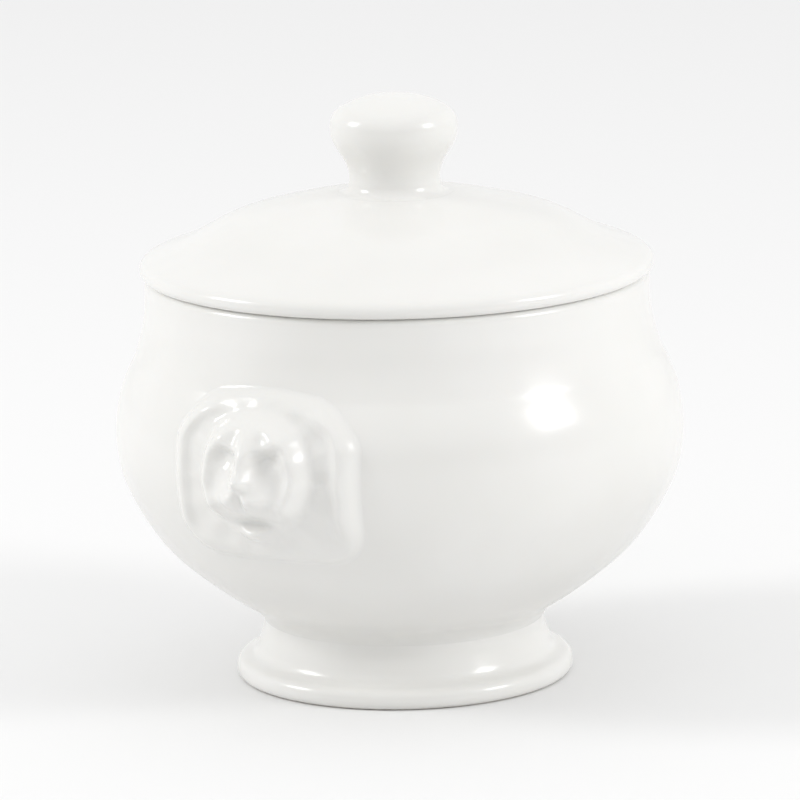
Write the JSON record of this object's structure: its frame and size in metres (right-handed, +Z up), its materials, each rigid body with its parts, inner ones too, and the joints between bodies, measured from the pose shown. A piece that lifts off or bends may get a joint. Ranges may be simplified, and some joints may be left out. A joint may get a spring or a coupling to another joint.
{
  "type": "sugar bowl",
  "caption": "Footed, round-bellied porcelain sugar bowl with lion-mask lugs on its sides and a domed, knobbed lid that lifts off.",
  "frame": {"origin": "centre of the foot's flat resting ring, on the surface that the bowl stands on", "axes": "+Z up through the knob; the mask lugs look out along +X and -X"},
  "size_m": [0.1196, 0.102, 0.1055],
  "materials": {
    "white_glaze": "clear glossy glaze over warm white porcelain, bare on the foot's resting ring"
  },
  "bodies": {
    "bowl": {"bowl_body": "white_glaze", "pedestal_foot": "white_glaze", "mask_lug_left": "white_glaze", "mask_lug_right": "white_glaze"},
    "lid": {"lid": "white_glaze", "lid_knob": "white_glaze"}
  },
  "joints": [
    {"name": "lid_lift", "type": "slide", "parent": "bowl", "child": "lid", "axis": [0, 0, 1], "range_m": [0, 0.06]}
  ]
}
